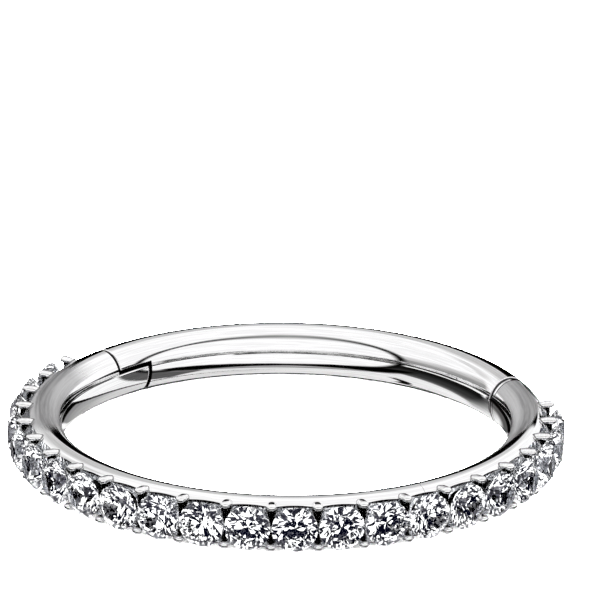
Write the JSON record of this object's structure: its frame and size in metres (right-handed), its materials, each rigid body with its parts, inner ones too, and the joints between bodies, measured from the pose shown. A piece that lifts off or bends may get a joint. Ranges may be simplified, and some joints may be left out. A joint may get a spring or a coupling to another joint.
{
  "type": "segment ring",
  "caption": "Hinged segment ring for a piercing: a steel wire ring with a plain gate at the back and a row of round clear stones in shared prongs round the front.",
  "frame": {"origin": "centre of the closed ring, on its axis, at the middle of the wire's height", "axes": "+Z is the ring's axis and points up as the ring lies on its side; +Y points from the stones towards the plain gate; +X completes a right-handed frame, with the gate's free end on the +X side and its hinge on the -X side"},
  "size_m": [0.0126, 0.0123, 0.0012],
  "materials": {
    "ring_steel": "polished, with a fine satin near the seams",
    "pin_steel": "polished",
    "clear_stone": "faceted and polished"
  },
  "bodies": {
    "ring": {"ring_body": "ring_steel", "hinge_pin": "pin_steel", "stone_01": "clear_stone", "stone_02": "clear_stone", "stone_03": "clear_stone", "stone_04": "clear_stone", "stone_05": "clear_stone", "stone_06": "clear_stone", "stone_07": "clear_stone", "stone_08": "clear_stone", "stone_09": "clear_stone", "stone_10": "clear_stone", "stone_11": "clear_stone", "stone_12": "clear_stone", "stone_13": "clear_stone", "stone_14": "clear_stone", "stone_15": "clear_stone", "stone_16": "clear_stone", "stone_17": "clear_stone", "stone_18": "clear_stone", "stone_19": "clear_stone", "stone_20": "clear_stone", "stone_21": "clear_stone", "stone_22": "clear_stone"},
    "gate": {"gate": "ring_steel", "click_ball": "pin_steel"}
  },
  "joints": [
    {"name": "gate_hinge", "type": "hinge", "parent": "ring", "child": "gate", "pos_m": [-0.00389, 0.0041, 0], "axis": [0, 0, 1], "range_deg": [0, 90]}
  ]
}
